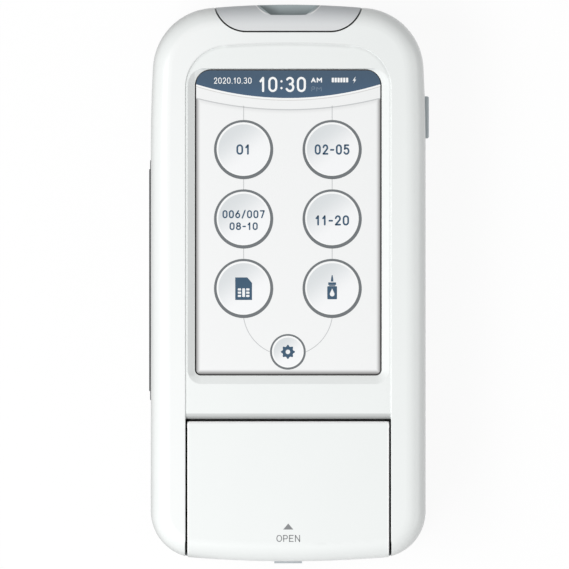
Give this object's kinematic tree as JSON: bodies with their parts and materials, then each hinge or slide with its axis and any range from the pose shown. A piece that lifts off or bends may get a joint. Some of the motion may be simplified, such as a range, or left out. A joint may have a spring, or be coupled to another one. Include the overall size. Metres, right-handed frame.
{
  "type": "rapid test reader",
  "caption": "Hand-held rapid test reader with a touch screen, a flip-up test door, a push latch, a side button and a socket cover.",
  "frame": {"origin": "on the surface that the reader rests on, under the middle of its case", "axes": "+Z out of the screen, +Y towards the top end with the socket cover, +X towards the side with the power button"},
  "size_m": [0.0794, 0.1588, 0.033],
  "materials": {
    "white_shell": "satin moulded ABS",
    "grey_rubber": "matte",
    "dark_rubber": "matte",
    "grey_plastic": "fine texture",
    "grey_soft": "satin soft-touch",
    "steel": "plain",
    "tray_plastic": "fine texture",
    "black_plastic": "fine texture",
    "gold_contact": "gold plated",
    "clear_glass": "clear",
    "clear_resin": "clear resin",
    "circuit_board": "green solder mask",
    "screen_glass": "clear touch glass",
    "black_foam": "matte foam",
    "display": "display surface",
    "bright_metal": "tinned sheet",
    "battery_wrap": "shrink film",
    "ribbon_film": "amber film"
  },
  "bodies": {
    "case": {"front_housing": "white_shell", "rear_housing": "white_shell", "battery_cover": "white_shell", "rubber_feet": "grey_rubber", "grip_strip": "dark_rubber", "hinge_pin": "steel", "bay_tray": "tray_plastic", "strip_port": "black_plastic", "strip_contacts": "gold_contact", "optics_window": "clear_glass", "optics_block": "black_plastic", "light_source": "clear_resin", "light_sensor": "black_plastic", "sensor_board": "circuit_board", "chip_socket": "black_plastic", "screen_glass": "screen_glass", "screen_gasket": "black_foam", "display_panel": "display", "display_frame": "bright_metal", "main_board": "circuit_board", "usb_socket": "bright_metal", "data_socket": "bright_metal", "ribbon_socket": "black_plastic", "radio_shield": "bright_metal", "processor": "black_plastic", "power_switch": "black_plastic", "battery_pack": "battery_wrap", "battery_contacts": "gold_contact", "speaker": "black_plastic", "case_screws": "steel", "display_screws": "steel", "cover_screw": "steel", "board_screws": "steel", "tray_screws": "steel", "display_ribbon": "ribbon_film"},
    "door": {"test_door": "white_shell"},
    "latch": {"door_latch": "grey_plastic"},
    "button": {"side_button": "grey_plastic"},
    "cover": {"socket_cover": "grey_soft"}
  },
  "joints": [
    {"name": "door_hinge", "type": "hinge", "parent": "case", "child": "door", "pos_m": [0, -0.0405, 0.0316], "axis": [-1, 0, 0], "range_deg": [0, 100]},
    {"name": "latch_push", "type": "slide", "parent": "case", "child": "latch", "axis": [0, 1, 0], "range_m": [0, 0.0012], "stiffness_N_per_m": 800},
    {"name": "button_press", "type": "slide", "parent": "case", "child": "button", "axis": [-1, 0, 0], "range_m": [0, 0.0006], "stiffness_N_per_m": 2500},
    {"name": "cover_hinge", "type": "hinge", "parent": "case", "child": "cover", "pos_m": [0, 0.0786, 0.0189], "axis": [-1, 0, 0], "range_deg": [0, 90]}
  ]
}
